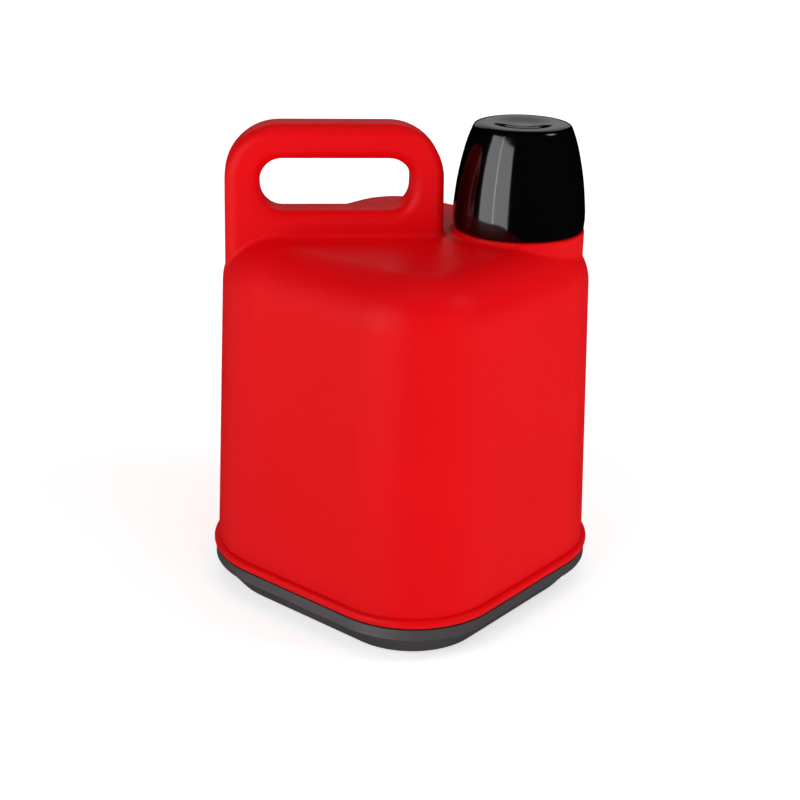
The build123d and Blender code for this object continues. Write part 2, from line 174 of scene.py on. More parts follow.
def math_node(tree: bpy.types.NodeTree, operation: str, *values: object) -> bpy.types.NodeSocket:
    """Adds a Math node whose inputs are sockets or plain numbers.

    Args:
        tree: Node tree that takes the node.
        operation: Name of the operation, such as MULTIPLY.
        values: A socket or a number for each input.

    Returns:
        The node's output socket.
    """
    node = tree.nodes.new("ShaderNodeMath")
    node.operation = operation
    for index, value in enumerate(values):
        feed(tree, node.inputs[index], value)
    return node.outputs[0]


def noise_node(tree: bpy.types.NodeTree, vector: bpy.types.NodeSocket, scale: object, detail: float,
               roughness: float = 0.5) -> bpy.types.NodeSocket:
    """Adds a noise texture on the given coordinates.

    Args:
        tree: Node tree that takes the node.
        vector: Coordinates to read.
        scale: A number or a socket.
        detail: Octaves of finer noise.
        roughness: Strength of the finer octaves.

    Returns:
        The noise value, from 0 to 1.
    """
    node = tree.nodes.new("ShaderNodeTexNoise")
    tree.links.new(vector, node.inputs["Vector"])
    feed(tree, node.inputs["Scale"], scale)
    node.inputs["Detail"].default_value = detail
    node.inputs["Roughness"].default_value = roughness
    return node.outputs["Fac"]


def remap(tree: bpy.types.NodeTree, value: bpy.types.NodeSocket, low: float, high: float,
          to_low: float = 0.0, to_high: float = 1.0) -> bpy.types.NodeSocket:
    """Maps a value from one range onto another, clamped.

    Args:
        tree: Node tree that takes the node.
        value: Value to map.
        low: Start of the range that is read.
        high: End of the range that is read.
        to_low: Result at the start.
        to_high: Result at the end.

    Returns:
        The mapped value.
    """
    node = tree.nodes.new("ShaderNodeMapRange")
    tree.links.new(value, node.inputs["Value"])
    for name, bound in (("From Min", low), ("From Max", high), ("To Min", to_low), ("To Max", to_high)):
        node.inputs[name].default_value = bound
    return node.outputs["Result"]


def mix_colours(tree: bpy.types.NodeTree, share: bpy.types.NodeSocket, first: object, second: object
                ) -> bpy.types.NodeSocket:
    """Mixes two colours.

    Args:
        tree: Node tree that takes the node.
        share: Share of the second colour, from 0 to 1.
        first: A colour or a socket.
        second: A colour or a socket.

    Returns:
        The mixed colour.
    """
    node = tree.nodes.new("ShaderNodeMix")
    node.data_type = "RGBA"
    tree.links.new(share, node.inputs["Factor"])
    feed(tree, node.inputs["A"], first)
    feed(tree, node.inputs["B"], second)
    return node.outputs["Result"]


def set_relief(tree: bpy.types.NodeTree, height: bpy.types.NodeSocket, distance: float) -> None:
    """Gives a material's surface a bump.

    Args:
        tree: Node tree of the material.
        height: Height of the relief.
        distance: Depth that a height of 1 stands for.
    """
    relief = tree.nodes.new("ShaderNodeBump")
    relief.inputs["Distance"].default_value = distance
    tree.links.new(height, relief.inputs["Height"])
    tree.links.new(relief.outputs["Normal"], tree.nodes["Principled BSDF"].inputs["Normal"])


def moulded_skin_group() -> bpy.types.NodeTree:
    """Builds the group for a moulded plastic skin: fine grain, slow waviness and patchy gloss.

    Returns:
        The node group, with outputs Height, Gloss and Shade.
    """
    group = new_group("moulded skin", {"Grain Scale": 900.0, "Grain Depth": 0.5, "Wave Depth": 0.5},
                      ("Height", "Gloss", "Shade"))
    entry = group.nodes.new("NodeGroupInput")
    leave = group.nodes.new("NodeGroupOutput")
    place = place_on_piece(group)
    grain = noise_node(group, place, entry.outputs["Grain Scale"], detail=3.0, roughness=0.6)
    wave = noise_node(group, place, WAVE_SCALE, detail=2.0)
    patch = noise_node(group, place, PATCH_SCALE, detail=4.0, roughness=0.55)
    fine = math_node(group, "MULTIPLY", grain, entry.outputs["Grain Depth"])
    slow = math_node(group, "MULTIPLY", wave, entry.outputs["Wave Depth"])
    group.links.new(math_node(group, "ADD", fine, slow), leave.inputs["Height"])
    group.links.new(remap(group, patch, *NOISE_MIDDLE), leave.inputs["Gloss"])
    group.links.new(remap(group, wave, *NOISE_MIDDLE), leave.inputs["Shade"])
    return group


def handling_wear_group() -> bpy.types.NodeTree:
    """Builds the group for light handling marks: hair scratches and scattered dust specks.

    Returns:
        The node group, with outputs Scratch and Dust.
    """
    group = new_group("handling wear", {"Scratch Amount": 0.5, "Dust Amount": 0.5}, ("Scratch", "Dust"))
    entry = group.nodes.new("NodeGroupInput")
    leave = group.nodes.new("NodeGroupOutput")
    place = place_on_piece(group)
    stretch = group.nodes.new("ShaderNodeMapping")
    stretch.inputs["Rotation"].default_value = HAIR_TURN
    stretch.inputs["Scale"].default_value = HAIR_STRETCH
    group.links.new(place, stretch.inputs["Vector"])
    hair = noise_node(group, stretch.outputs["Vector"], scale=1.0, detail=2.0, roughness=0.4)
    region = noise_node(group, place, REGION_SCALE, detail=2.0)
    lines = remap(group, hair, *HAIR_LINES)
    marks = math_node(group, "MULTIPLY", lines, remap(group, region, *SCRATCHED_REGION))
    scratch = math_node(group, "MULTIPLY", marks, entry.outputs["Scratch Amount"])
    group.links.new(scratch, leave.inputs["Scratch"])
    specks = group.nodes.new("ShaderNodeTexVoronoi")
    specks.inputs["Scale"].default_value = SPECK_SCALE
    group.links.new(place, specks.inputs["Vector"])
    spots = remap(group, specks.outputs["Distance"], *SPECK_EDGE, to_low=1.0, to_high=0.0)
    gathered = math_node(group, "MULTIPLY", spots, remap(group, region, *DUSTY_REGION))
    dust = math_node(group, "MULTIPLY", gathered, entry.outputs["Dust Amount"])
    group.links.new(dust, leave.inputs["Dust"])
    return group


# ---------------------------------------------------------------- finishes
@dataclass(frozen=True)
class MouldedPlastic:
    """Moulded plastic with grain, faint waviness and signs of handling.

    The colour drifts towards the shade in slow waves, and the roughness between its two values in patches.
    """

    name: str
    colour: tuple[float, float, float]
    shade: tuple[float, float, float]
    rough: tuple[float, float]
    grain_scale: float = 900.0
    grain_depth: float = 0.5
    wave_depth: float = 0.5
    bump: float = 0.00004
    specular: float = 0.5
    subsurface: float = 0.0
    subsurface_scale: float = 0.002
    scratches: float = 0.3
    scratch_dulling: float = 0.25
    dust: float = 0.2
    dust_colour: tuple[float, float, float] = (0.35, 0.33, 0.31)
    transmission: float = 0.0
    seam_width: float = 0.0
    seam_relief: float = 1.6
    seam_crest: float = 0.4

    def seam(self, tree: bpy.types.NodeTree) -> bpy.types.NodeSocket:
        """Makes the fine raised line that two mould halves leave in the plane through handle and neck.

        Args:
            tree: Node tree of the material.

        Returns:
            Height of the line, from 0 to 1.
        """
        split = tree.nodes.new("ShaderNodeSeparateXYZ")
        tree.links.new(place_on_piece(tree), split.inputs["Vector"])
        away = math_node(tree, "ABSOLUTE", split.outputs["Y"])
        return remap(tree, away, self.seam_width * self.seam_crest, self.seam_width, 1.0, 0.0)

    def build(self, skin: bpy.types.NodeTree, wear: bpy.types.NodeTree) -> bpy.types.Material:
        """Makes the material.

        Args:
            skin: Group for the moulded skin.
            wear: Group for the handling marks.

        Returns:
            The finished material.
        """
        material = bpy.data.materials.new(self.name)
        material.use_nodes = True
        tree = material.node_tree
        surface = tree.nodes["Principled BSDF"]
        texture = use_group(tree, skin, {"Grain Scale": self.grain_scale, "Grain Depth": self.grain_depth,
                                         "Wave Depth": self.wave_depth})
        marks = use_group(tree, wear, {"Scratch Amount": self.scratches, "Dust Amount": self.dust})
        tint = mix_colours(tree, texture.outputs["Shade"], (*self.shade, 1.0), (*self.colour, 1.0))
        dusted = mix_colours(tree, marks.outputs["Dust"], tint, (*self.dust_colour, 1.0))
        tree.links.new(dusted, surface.inputs["Base Color"])
        gloss = remap(tree, texture.outputs["Gloss"], 0.0, 1.0, *self.rough)
        dulling = math_node(tree, "MULTIPLY", marks.outputs["Scratch"], self.scratch_dulling)
        tree.links.new(math_node(tree, "ADD", gloss, dulling), surface.inputs["Roughness"])
        height = math_node(tree, "SUBTRACT", texture.outputs["Height"], marks.outputs["Scratch"])
        if self.seam_width:
            height = math_node(tree, "MULTIPLY_ADD", self.seam(tree), self.seam_relief, height)
        set_relief(tree, height, self.bump)
        surface.inputs["Specular IOR Level"].default_value = self.specular
        surface.inputs["Subsurface Weight"].default_value = self.subsurface
        surface.inputs["Subsurface Scale"].default_value = self.subsurface_scale
        surface.inputs["Transmission Weight"].default_value = self.transmission
        material.diffuse_color = (*self.colour, 1.0)
        return material


@dataclass(frozen=True)
class DrawnSteel:
    """Bright steel with fine grain and patchy gloss."""

    name: str
    colour: tuple[float, float, float] = (0.62, 0.61, 0.6)
    rough: tuple[float, float] = (0.16, 0.34)
    darkest: float = 0.8
    grain_scale: float = 2400.0
    bump: float = 0.00001

    def build(self, skin: bpy.types.NodeTree, wear: bpy.types.NodeTree) -> bpy.types.Material:
        """Makes the material.

        Args:
            skin: Group for the skin, read for its grain and patchy gloss.
            wear: Group for the handling marks.

        Returns:
            The finished material.
        """
        material = bpy.data.materials.new(self.name)
        material.use_nodes = True
        tree = material.node_tree
        surface = tree.nodes["Principled BSDF"]
        surface.inputs["Metallic"].default_value = 1.0
        texture = use_group(tree, skin, {"Grain Scale": self.grain_scale})
        marks = use_group(tree, wear, {})
        dark = (*(part * self.darkest for part in self.colour), 1.0)
        tint = mix_colours(tree, texture.outputs["Gloss"], dark, (*self.colour, 1.0))
        tree.links.new(tint, surface.inputs["Base Color"])
        gloss = remap(tree, texture.outputs["Gloss"], 0.0, 1.0, *self.rough)
        dulled = math_node(tree, "ADD", gloss, marks.outputs["Scratch"])
        tree.links.new(dulled, surface.inputs["Roughness"])
        set_relief(tree, texture.outputs["Height"], self.bump)
        material.diffuse_color = (*self.colour, 1.0)
        return material


@dataclass
class FinishSet:
    """All finishes of the jug, built once each."""

    made: dict[Slot, bpy.types.Material] = field(default_factory=dict)

    def build(self) -> None:
        """Builds the shared groups and then every finish."""
        skin = moulded_skin_group()
        wear = handling_wear_group()
        red = (0.745, 0.0016, 0.0045)
        finishes = {
            Slot.SHELL: MouldedPlastic("red polyethylene", red, (0.715, 0.0014, 0.004), (0.36, 0.46),
                                       grain_scale=1400.0, grain_depth=0.35, wave_depth=1.0,
                                       bump=0.00005, specular=0.06, scratches=0.3, dust=0.0,
                                       seam_width=0.0004),
            Slot.BASE: MouldedPlastic("grey polypropylene", (0.064, 0.057, 0.060), (0.057, 0.051, 0.053),
                                      (0.38, 0.50), grain_scale=1700.0, grain_depth=1.0, wave_depth=0.3,
                                      bump=0.00008, scratches=0.4, dust=0.25),
            Slot.RUBBER: MouldedPlastic("black rubber", (0.022, 0.022, 0.022), (0.03, 0.03, 0.03),
                                        (0.62, 0.8), grain_scale=1200.0, grain_depth=0.8, dust=0.6),
            Slot.FOAM: MouldedPlastic("cream rigid foam", (0.80, 0.68, 0.42), (0.70, 0.56, 0.30),
                                      (0.85, 0.95), grain_scale=520.0, grain_depth=1.5, bump=0.0004,
                                      dust=0.0),
            Slot.TANK: MouldedPlastic("white food grade plastic", (0.80, 0.80, 0.78), (0.74, 0.74, 0.72),
                                      (0.32, 0.42), grain_depth=0.2, wave_depth=1.0, subsurface=0.15,
                                      scratches=0.1, dust=0.0),
            Slot.MOULDING: MouldedPlastic("black satin moulding", (0.014, 0.014, 0.015),
                                          (0.018, 0.018, 0.019), (0.30, 0.42), grain_scale=1500.0,
                                          grain_depth=0.7, wave_depth=0.3, scratches=0.4, dust=0.1),
            Slot.CUP: MouldedPlastic("black gloss moulding", (0.0011, 0.0011, 0.0012),
                                     (0.0014, 0.0014, 0.0015), (0.07, 0.11), grain_scale=600.0,
                                     grain_depth=0.03, wave_depth=0.6, bump=0.00006, specular=0.42,
                                     scratches=0.15, dust=0.05),
            Slot.SILICONE: MouldedPlastic("clear silicone", (0.74, 0.74, 0.70), (0.68, 0.68, 0.64),
                                          (0.36, 0.5), grain_depth=0.2, subsurface=0.35, scratches=0.0,
                                          dust=0.1, transmission=0.2),
            Slot.STEEL: DrawnSteel("drawn spring steel"),
            Slot.BUTTON: MouldedPlastic("red push button", red, (0.70, 0.0015, 0.0042), (0.16, 0.24),
                                        grain_depth=0.1, wave_depth=0.4, scratches=0.4, dust=0.0),
        }
        for slot, finish in finishes.items():
            self.made[slot] = finish.build(skin, wear)

    def dress(self, piece: bpy.types.Object, slot: Slot) -> None:
        """Gives a piece or a frame node its finish.

        Args:
            piece: Object to dress.
            slot: Finish that it takes.
        """
        if piece.data.materials:
            for holder in piece.material_slots:
                holder.material = self.made[slot]
        else:
            piece.data.materials.append(self.made[slot])


# ---------------------------------------------------------------- modelling helpers
def deselect() -> None:
    """Deselects everything, so that operators act only on what is made next."""
    for piece in bpy.context.selected_objects:
        piece.select_set(False)


def pick(piece: bpy.types.Object) -> None:
    """Selects one piece alone and makes it active.

    Args:
        piece: Piece to select.
    """
    deselect()
    piece.select_set(True)
    bpy.context.view_layer.objects.active = piece


def arc(centre: tuple[float, float], radius: float, start: float, end: float, steps: int
        ) -> list[tuple[float, float]]:
    """Gives points along an arc of a profile.

    Args:
        centre: Distance from the axis and height of the arc's centre.
        radius: Radius of the arc.
        start: First angle in degrees, 0 pointing away from the axis and 90 up.
        end: Last angle in degrees.
        steps: Number of stretches.

    Returns:
        Points as (distance from the axis, height).
    """
    turns = [math.radians(start + (end - start) * step / steps) for step in range(steps + 1)]
    return [(centre[0] + radius * math.cos(t), centre[1] + radius * math.sin(t)) for t in turns]


def between(a: float, b: float, c: float, d: float, t: float) -> float:
    """Gives a value between b and c on the smooth curve through four values.

    Args:
        a: Value before the stretch.
        b: Value at its start.
        c: Value at its end.
        d: Value after it.
        t: Place along the stretch, from 0 to 1.

    Returns:
        The value at that place.
    """
    square = (2 * a - 5 * b + 4 * c - d) * t * t
    cube = (3 * b - a - 3 * c + d) * t ** 3
    return 0.5 * (2 * b + (c - a) * t + square + cube)


def flowing(points: Sequence[tuple[float, float]], steps: int) -> list[tuple[float, float]]:
    """Runs a smooth curve through the points of a profile.

    Args:
        points: Points that the curve passes through.
        steps: Stretches between two points.

    Returns:
        Points along the curve.
    """
    padded = [points[0], *points, points[-1]]
    curve: list[tuple[float, float]] = []
    for before, near, far, after in zip(padded, padded[1:], padded[2:], padded[3:]):
        for step in range(steps):
            curve.append(tuple(between(*values, step / steps) for values in zip(before, near, far, after)))
    return [*curve, points[-1]]


def settle(piece: bpy.types.Object, angle: float = 32.0) -> bpy.types.Object:
    """Merges doubles, points the faces outwards and smooths the shading.

    Args:
        piece: Piece in object mode.
        angle: Edges sharper than this many degrees stay crisp.

    Returns:
        The same piece.
    """
    pick(piece)
    bpy.ops.object.mode_set(mode="EDIT")
    bpy.ops.mesh.select_all(action="SELECT")
    bpy.ops.mesh.remove_doubles(threshold=DOUBLES_WITHIN)
    bpy.ops.mesh.normals_make_consistent(inside=False)
    bpy.ops.object.mode_set(mode="OBJECT")
    bpy.ops.object.shade_smooth_by_angle(angle=math.radians(angle))
    return piece


def close_ends(piece: bpy.types.Object) -> None:
    """Fills the open ends of a wound tube.

    Args:
        piece: Tube in object mode.
    """
    pick(piece)
    bpy.ops.object.mode_set(mode="EDIT")
    bpy.ops.mesh.select_all(action="SELECT")
    bpy.ops.mesh.fill_holes(sides=0)
    bpy.ops.object.mode_set(mode="OBJECT")


def join(first: bpy.types.Object, *others: bpy.types.Object) -> bpy.types.Object:
    """Joins pieces of one moulding into one object.

    Args:
        first: Piece that keeps its name.
        others: Pieces to add to it.

    Returns:
        The joined piece.
    """
    deselect()
    for piece in (first, *others):
        piece.select_set(True)
    bpy.context.view_layer.objects.active = first
    bpy.ops.object.join()
    return first


def apply_modifiers(piece: bpy.types.Object) -> None:
    """Applies every modifier of a piece in its order.

    Args:
        piece: Piece in object mode.
    """
    pick(piece)
    for modifier in list(piece.modifiers):
        bpy.ops.object.modifier_apply(modifier=modifier.name)


def middle(low: Vector, high: Vector) -> tuple[float, float]:
    """Gives the upright axis through the middle of a box.

    Args:
        low: Lowest corner of the box.
        high: Highest corner.

    Returns:
        The axis's x and y.
    """
    return (low.x + high.x) / 2, (low.y + high.y) / 2


@dataclass(frozen=True)
class Thread:
    """Sizes of a screw thread with one or more ridges."""

    depth: float
    pitch: float
    turns: float
    starts: int = 1


@dataclass
class Lathe:
    """Turns profiles about one upright axis, ring by ring, and winds threads round it."""

    x: float
    y: float
    segments: int = 120
    pole: float = 0.0004
    section_points: int = 10
    steps_per_turn: int = 72
    run_out_turns: float = 0.1
    run_out_end: float = 0.06
    ridge_share: float = 0.26
    ridge_crisp: float = 50.0
    foot_depth: float = 0.0006

    def turn(self, name: str, profile: Sequence[tuple[float, float]], closed: bool = False
             ) -> bpy.types.Object:
        """Extrudes a circle through every point of the profile.

        Args:
            name: Name of the piece.
            profile: Points as (distance from the axis, height). An open one starts and ends near the axis.
            closed: Whether the profile runs back to its first point, as a ring's does.

        Returns:
            The turned piece.
        """
        deselect()
        points = [(max(r, self.pole), z) for r, z in profile]
        before, *rings = points
        bpy.ops.mesh.primitive_circle_add(vertices=self.segments, radius=before[0],
                                          location=(self.x, self.y, before[1]))
        piece = bpy.context.active_object
        piece.name = name
        bpy.ops.object.transform_apply(location=True, rotation=False, scale=False)
        bpy.ops.object.mode_set(mode="EDIT")
        bpy.ops.mesh.select_all(action="SELECT")
        if closed:
            rings.append(before)
        else:
            bpy.ops.mesh.edge_face_add()
            bpy.ops.mesh.select_all(action="DESELECT")
            bpy.ops.mesh.select_mode(type="EDGE")
            bpy.ops.mesh.select_all(action="SELECT")
        for ring in rings:
            rise = (0.0, 0.0, ring[1] - before[1])
            bpy.ops.mesh.extrude_edges_move(TRANSFORM_OT_translate={"value": rise})
            scale = ring[0] / before[0]
            bpy.ops.transform.resize(value=(scale, scale, 1.0), center_override=(self.x, self.y, ring[1]))
            before = ring
        if not closed:
            bpy.ops.mesh.edge_face_add()
        bpy.ops.object.mode_set(mode="OBJECT")
        return settle(piece)

    def threads(self, name: str, thread: Thread, radius: float, low: float, outward: bool
                ) -> list[bpy.types.Object]:
        """Winds every rounded ridge of a thread, with run-out ends.

        Args:
            name: Name of the ridges, which a number follows.
            thread: Sizes of the thread.
            radius: Radius of the wall that carries the ridges.
            low: Height of their lower ends.
            outward: Whether the ridges are on the outside of the wall.

        Returns:
            The ridges.
        """
        ridges = []
        section = (thread.depth, thread.pitch * self.ridge_share)
        for index in range(thread.starts):
            ridge = self.wind(f"{name}_{index}", radius, section, thread.pitch, thread.turns)
            self.run_out(ridge, radius, 1.0 if outward else -1.0, thread.turns)
            start = Matrix.Rotation(2 * math.pi / thread.starts * index, 4, "Z")
            ridge.data.transform(Matrix.Translation((self.x, self.y, low)) @ start)
            ridges.append(settle(ridge, self.ridge_crisp))
        return ridges

    def wind(self, name: str, radius: float, section: tuple[float, float], pitch: float, turns: float
             ) -> bpy.types.Object:
        """Winds an oval section about the Z axis and closes its ends.

        Args:
            name: Name of the piece.
            radius: Radius of the helix.
            section: Half width and half height of the oval.
            pitch: Rise in each turn.
            turns: Length in turns.

        Returns:
            The wound tube, with one ring of points after another.
        """
        deselect()
        bpy.ops.mesh.primitive_circle_add(vertices=self.section_points, radius=section[1],
                                          location=(radius, 0.0, 0.0), rotation=(math.pi / 2, 0.0, 0.0))
        piece = bpy.context.active_object
        piece.name = name
        piece.scale = (section[0] / section[1], 1.0, 1.0)
        bpy.ops.object.transform_apply(location=True, rotation=True, scale=True)
        screw = piece.modifiers.new("winding", "SCREW")
        screw.angle = 2 * math.pi * turns
        screw.screw_offset = pitch * turns
        screw.steps = screw.render_steps = int(self.steps_per_turn * turns)
        screw.use_merge_vertices = False
        apply_modifiers(piece)
        close_ends(piece)
        return piece

    def run_out(self, piece: bpy.types.Object, wall: float, side: float, turns: float) -> None:
        """Keeps a ridge's foot just inside its wall and fades both of its ends into the wall.

        Args:
            piece: The wound ridge, still centred on the Z axis.
            wall: Radius of the wall that carries the ridge.
            side: 1 for a ridge on the outside of the wall, -1 for one on the inside.
            turns: Length in turns.
        """
        rings = len(piece.data.vertices) / self.section_points
        for vertex in piece.data.vertices:
            along = vertex.index // self.section_points / rings
            full = min(1.0, min(along, 1.0 - along) * turns / self.run_out_turns + self.run_out_end)
            radius = math.hypot(vertex.co.x, vertex.co.y)
            foot = self.foot_depth * full
            stand = max((radius - wall) * side * full, -foot) - self.foot_depth * (1.0 - full)
            vertex.co.x *= (wall + side * stand) / radius
            vertex.co.y *= (wall + side * stand) / radius


@dataclass
class Assembly:
    """Common work of a sub-assembly: give each piece its body and finish, and hide its frame nodes."""

    finishes: FinishSet

    def place(self, piece: bpy.types.Object, body: Body, slot: Slot, *nodes: str) -> bpy.types.Object:
        """Gives a piece its finish and body, and hides the frame nodes that it stands for.

        Args:
            piece: Finished piece.
            body: Body that carries it.
            slot: Material slot that it takes.
            nodes: Frame nodes that it replaces.

        Returns:
            The same piece.
        """
        self.finishes.dress(piece, slot)
        if nodes:
            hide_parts(*nodes)
        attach(piece, body.value)
        LOG.info("placed %s: %d faces", piece.name, len(piece.data.polygons))
        return piece


# ---------------------------------------------------------------- sub-assemblies
@dataclass
class DrinkingCup(Assembly):
    """Black cup over the stopper, with a two-start thread in its mouth.

    The points of the side are (distance from the axis, height above the rim), and those of the end are
    (distance from the axis, depth below the top).
    """

    wall: float = 0.0024
    segments: int = 160
    side: Sequence[tuple[float, float]] = (
        (0.0428, 0.0060), (0.0427, 0.0110), (0.0421, 0.0180), (0.0409, 0.0285), (0.0393, 0.0380),
        (0.0371, 0.0480), (0.0349, 0.0560), (0.0327, 0.0620),
    )
    side_steps: int = 4
    end: Sequence[tuple[float, float]] = (
        (0.0313, 0.0020), (0.0298, 0.0008), (0.0278, 0.0002), (0.0255, 0.0),
    )
    end_steps: int = 5
    rim_inset: float = 0.0004
    rim_round: float = 0.0012
    rim_steps: int = 8
    dish: float = 0.0225
    dish_depth: float = 0.0016
    dish_steps: int = 14
    dish_slope: float = 1.25
    corner_height: float = 0.006
    corner_rise: float = 0.0030
    corner_drop: float = 0.0008
    corner_insets: tuple[float, float, float] = (0.0012, 0.0040, 0.0075)
    under_rings: Sequence[float] = (0.0, 0.008, 0.018)
    thread: Thread = Thread(depth=0.0030, pitch=0.0042, turns=0.8, starts=2)
    thread_wall: float = 0.0401
    thread_low: float = 0.0070

    def inside(self, outside: Sequence[tuple[float, float]], top: float) -> list[tuple[float, float]]:
        """Works out the inside of the cup, from the middle of its end down to the mouth.

        Args:
            outside: Points of the outside of the side, from the rim up.
            top: Height of the inside of the end.

        Returns:
            Points as (distance from the axis, height).
        """
        side = [(r - self.wall, z) for r, z in outside if z < top - self.corner_height]
        radius, height = side[-1]
        low, bend, flat = self.corner_insets
        corner = [(radius - flat, top), (radius - bend, top - self.corner_drop),
                  (radius - low, height + self.corner_rise)]
        return [*((r, top) for r in self.under_rings), *corner, *reversed(side)]

    def dish_points(self, top: float) -> list[tuple[float, float]]:
        """Works out the shallow dish in the cup's end, from its edge to its middle.

        Args:
            top: Height of the dish's edge.

        Returns:
            Points as (distance from the axis, height).
        """
        shares = [step / self.dish_steps for step in range(self.dish_steps + 1)]
        falls = [0.5 - 0.5 * math.cos(math.pi * min(1.0, self.dish_slope * share)) for share in shares]
        return [(self.dish * (1 - share), top - self.dish_depth * fall)
                for share, fall in zip(shares, falls)]

    def profile(self, rim: float, top: float) -> list[tuple[float, float]]:
        """Works out the section, from the inside of the end over the rim to the outside of the end.

        Args:
            rim: Height of the rim.
            top: Height of the end.

        Returns:
            Points as (distance from the axis, height).
        """
        outside = [(r, rim + z) for r, z in flowing(self.side, self.side_steps)]
        inside = self.inside(outside, top - self.dish_depth - self.wall)
        rim_middle = (outside[0][0] - self.rim_inset - self.wall / 2, rim + self.rim_round)
        rim_edge = arc(rim_middle, self.rim_round, 180.0, 360.0, self.rim_steps)
        end = flowing([outside[-1], *((r, top - depth) for r, depth in self.end)], self.end_steps)
        return [*inside, *rim_edge, *outside[:-1], *end, *self.dish_points(top)]

    def build(self) -> None:
        """Models the cup with the thread inside its mouth."""
        low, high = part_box("drinking_cup")
        lathe = Lathe(*middle(low, high), segments=self.segments)
        cup = lathe.turn("cup_wall", self.profile(low.z, high.z))
        ridges = lathe.threads("cup_thread", self.thread, self.thread_wall, low.z + self.thread_low,
                               outward=False)
        self.place(join(cup, *ridges), Body.CUP, Slot.CUP, "drinking_cup")


@dataclass
class NeckRing(Assembly):
    """Ring nut round the neck, with a two-start thread for the cup."""

    flange: float = 0.0386
    flange_height: float = 0.0026
    barrel: float = 0.0353
    bore_room: float = 0.0002
    edge: float = 0.0008
    edge_steps: int = 4
    foot_chamfer: float = 0.0004
    mouth_chamfer: float = 0.0006
    thread: Thread = Thread(depth=0.0013, pitch=0.0044, turns=0.9, starts=2)
    thread_above_flange: float = 0.0021

    def build(self) -> None:
        """Models the ring and its thread. Its bore clears the stopper's seal."""
        low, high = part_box("neck_ring")
        seal_low, seal_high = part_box("stopper_seal")
        lathe = Lathe(*middle(low, high))
        bore = (seal_high.x - seal_low.x) / 2 + self.bore_room
        step = low.z + self.flange_height
        edge = self.edge
        profile = [
            (bore, low.z + self.foot_chamfer), (bore + self.foot_chamfer, low.z),
            *arc((self.flange - edge, low.z + edge), edge, -90.0, 0.0, self.edge_steps),
            *arc((self.flange - edge, step - edge), edge, 0.0, 90.0, self.edge_steps),
            *arc((self.barrel + edge, step + edge), edge, 270.0, 180.0, self.edge_steps),
            *arc((self.barrel - edge, high.z - edge), edge, 0.0, 90.0, self.edge_steps),
            (bore + self.mouth_chamfer, high.z), (bore, high.z - self.mouth_chamfer),
        ]
        ring = lathe.turn("neck_ring_body", profile, closed=True)
        ridges = lathe.threads("neck_thread", self.thread, self.barrel, step + self.thread_above_flange,
                               outward=True)
        self.place(join(ring, *ridges), Body.JUG, Slot.MOULDING, "neck_ring")


@dataclass
class StopperThread(Assembly):
    """Shallow screw thread on the plug below the stopper's head."""

    thread: Thread = Thread(depth=0.00045, pitch=0.0045, turns=4.5)
    steps_per_turn: int = 96
    plug_wall: float = 0.0022
    above_foot: float = 0.0055

    def build(self) -> None:
        """Winds the thread round the plug, whose wall stands round the cap of its core."""
        low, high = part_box("core_cap")
        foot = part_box("stopper_body")[0].z
        radius = (high.x - low.x) / 2 + self.plug_wall
        lathe = Lathe(*middle(low, high), steps_per_turn=self.steps_per_turn)
        ridge, = lathe.threads("stopper_thread", self.thread, radius, foot + self.above_foot, outward=True)
        ridge.name = "stopper_thread"
        self.place(ridge, Body.STOPPER, Slot.MOULDING)


@dataclass
class ButtonSpring(Assembly):
    """Wire spring under the button."""

    wire: float = 0.0006
    turns: float = 5.0
    stroke: float = 0.004
    wire_points: int = 14
    steps_per_turn: int = 40
    crisp: float = 60.0

    def build(self) -> None:
        """Winds the spring and gives it a mesh of its own."""
        low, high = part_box("button_spring")
        x, y = middle(low, high)
        mean = (high.x - low.x) / 2 - self.wire
        length = high.z - low.z
        pitch = (length - 2 * self.wire) / self.turns
        lathe = Lathe(x, y, section_points=self.wire_points, steps_per_turn=self.steps_per_turn)
        spring = lathe.wind("spring_coil", mean, (self.wire, self.wire), pitch, self.turns)
        spring.data.transform(Matrix.Translation((x, y, low.z + self.wire)))
        self.place(settle(spring, self.crisp), Body.STOPPER, Slot.STEEL, "button_spring")
        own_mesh(spring)


